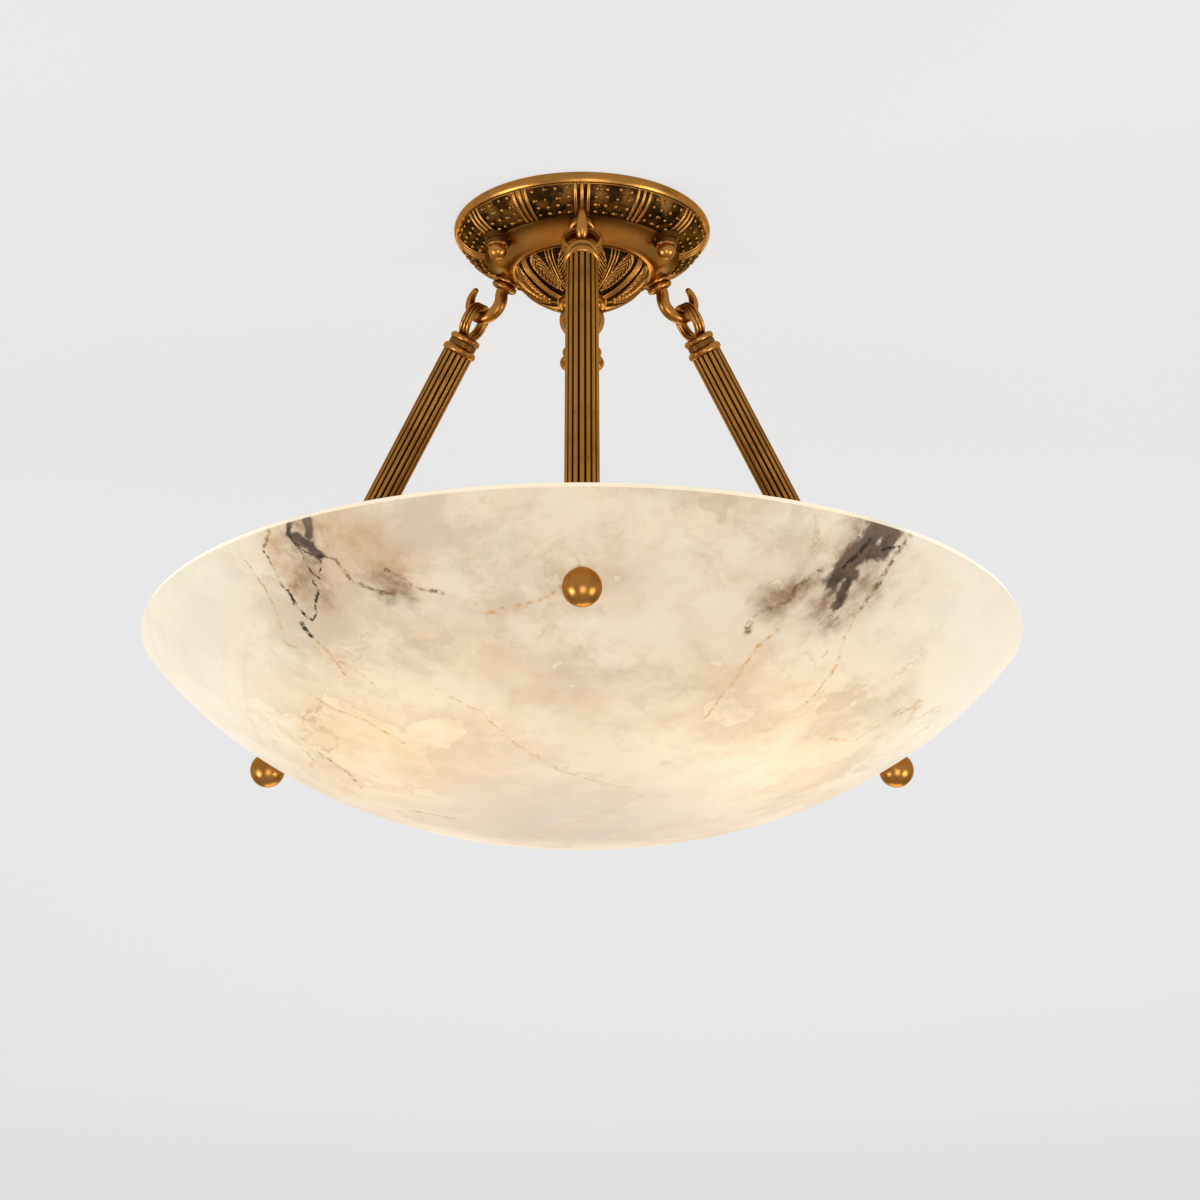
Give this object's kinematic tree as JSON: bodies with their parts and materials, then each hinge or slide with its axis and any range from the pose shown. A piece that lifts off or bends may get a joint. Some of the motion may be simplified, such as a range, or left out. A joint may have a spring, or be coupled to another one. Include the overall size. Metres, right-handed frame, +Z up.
{
  "type": "semi flush ceiling light",
  "caption": "Veined alabaster bowl hung on reeded brass arms from an ornamented round canopy, lit from inside by a lamp cluster on a hanging stem.",
  "frame": {"origin": "centre of the mounting plate's ceiling face, on the vertical axis of canopy, stem and bowl", "axes": "+Z up into the ceiling; -Y towards the viewer of the picture, where the front arm hangs; +X to the viewer's right"},
  "size_m": [0.5, 0.5, 0.3684],
  "materials": {
    "alabaster": "polished veined stone, lit from inside",
    "antique_brass": "antiqued, dark in the recesses",
    "zinc_steel": "zinc plated",
    "earth_brass": "bright",
    "rubber": "matte",
    "porcelain": "glazed",
    "cap_nickel": "bright",
    "lamp_glass": "frosted, glowing"
  },
  "bodies": {
    "canopy": {"mounting_plate": "zinc_steel", "earth_screw": "earth_brass", "terminal_block": "porcelain", "canopy_studs": "zinc_steel", "stud_nuts": "zinc_steel", "canopy_pan": "antique_brass", "bell_ring": "antique_brass", "leaf_cup": "antique_brass", "button_with_ring": "antique_brass", "canopy_bridge_bar": "zinc_steel", "canopy_tie_rod": "zinc_steel", "canopy_tie_nut": "zinc_steel", "hook_front": "antique_brass", "hook_right": "antique_brass", "hook_left": "antique_brass", "hook_nuts": "zinc_steel"},
    "nut_front_right": {"ball_nut_front_right": "antique_brass"},
    "nut_back": {"ball_nut_back": "antique_brass"},
    "nut_front_left": {"ball_nut_front_left": "antique_brass"},
    "bowl": {"alabaster_bowl": "alabaster", "lug_gaskets": "rubber", "bowl_lug_front": "antique_brass", "bowl_lug_right": "antique_brass", "bowl_lug_left": "antique_brass", "lug_nuts": "zinc_steel", "finial_studs": "zinc_steel", "finial_washers": "antique_brass"},
    "finial_front": {"ball_finial_front": "antique_brass"},
    "finial_right": {"ball_finial_right": "antique_brass"},
    "finial_left": {"ball_finial_left": "antique_brass"},
    "arm_front": {"arm_head_front": "antique_brass", "arm_shaft_front": "antique_brass", "arm_foot_front": "antique_brass"},
    "arm_right": {"arm_head_right": "antique_brass", "arm_shaft_right": "antique_brass", "arm_foot_right": "antique_brass"},
    "arm_left": {"arm_head_left": "antique_brass", "arm_shaft_left": "antique_brass", "arm_foot_left": "antique_brass"},
    "stem": {"stem_head": "antique_brass", "stem_tube": "antique_brass", "cluster_body": "antique_brass", "cluster_cover": "antique_brass", "cluster_knob_bolt": "antique_brass", "lampholder_front_right": "porcelain", "lampholder_back": "porcelain", "lampholder_front_left": "porcelain"},
    "bulb_front_right": {"bulb_cap_front_right": "cap_nickel", "bulb_glass_front_right": "lamp_glass"},
    "bulb_back": {"bulb_cap_back": "cap_nickel", "bulb_glass_back": "lamp_glass"},
    "bulb_front_left": {"bulb_cap_front_left": "cap_nickel", "bulb_glass_front_left": "lamp_glass"}
  },
  "joints": [
    {"name": "bowl_sway", "type": "hinge", "parent": "canopy", "child": "bowl", "pos_m": [0, 0, 0.07307], "axis": [1, 0, 0], "range_deg": [-3, 3]},
    {"name": "arm_swing_front", "type": "hinge", "parent": "canopy", "child": "arm_front", "pos_m": [0, -0.06677, -0.03253], "axis": [1, 0, 0], "range_deg": [-4.5, 4.5]},
    {"name": "arm_swing_right", "type": "hinge", "parent": "canopy", "child": "arm_right", "pos_m": [0.05782, 0.03338, -0.03253], "axis": [1, 0, 0], "range_deg": [-4.5, 4.5]},
    {"name": "arm_swing_left", "type": "hinge", "parent": "canopy", "child": "arm_left", "pos_m": [-0.05782, 0.03338, -0.03253], "axis": [1, 0, 0], "range_deg": [-4.5, 4.5]},
    {"name": "stem_swing", "type": "hinge", "parent": "canopy", "child": "stem", "pos_m": [0, 0, -0.0714], "axis": [1, 0, 0], "range_deg": [-5, 5]},
    {"name": "finial_unscrew_front", "type": "slide", "parent": "bowl", "child": "finial_front", "axis": [0, -0.6309, -0.7759], "range_m": [0, 0.012]},
    {"name": "finial_unscrew_right", "type": "slide", "parent": "bowl", "child": "finial_right", "axis": [0.5463, 0.3154, -0.7759], "range_m": [0, 0.012]},
    {"name": "finial_unscrew_left", "type": "slide", "parent": "bowl", "child": "finial_left", "axis": [-0.5463, 0.3154, -0.7759], "range_m": [0, 0.012]},
    {"name": "ball_nut_unscrew_front_right", "type": "slide", "parent": "canopy", "child": "nut_front_right", "axis": [0, 0, -1], "range_m": [0, 0.008]},
    {"name": "ball_nut_unscrew_back", "type": "slide", "parent": "canopy", "child": "nut_back", "axis": [0, 0, -1], "range_m": [0, 0.008]},
    {"name": "ball_nut_unscrew_front_left", "type": "slide", "parent": "canopy", "child": "nut_front_left", "axis": [0, 0, -1], "range_m": [0, 0.008]},
    {"name": "bulb_unscrew_front_right", "type": "slide", "parent": "stem", "child": "bulb_front_right", "axis": [0.866, -0.5, 0], "range_m": [0, 0.03]},
    {"name": "bulb_unscrew_back", "type": "slide", "parent": "stem", "child": "bulb_back", "axis": [0, 1, 0], "range_m": [0, 0.03]},
    {"name": "bulb_unscrew_front_left", "type": "slide", "parent": "stem", "child": "bulb_front_left", "axis": [-0.866, -0.5, 0], "range_m": [0, 0.03]}
  ],
  "couplings": [
    {"joint": "arm_swing_front", "follows": "bowl_sway", "ratio": 1.4486},
    {"joint": "arm_swing_right", "follows": "bowl_sway", "ratio": 1.4486},
    {"joint": "arm_swing_left", "follows": "bowl_sway", "ratio": 1.4486}
  ]
}
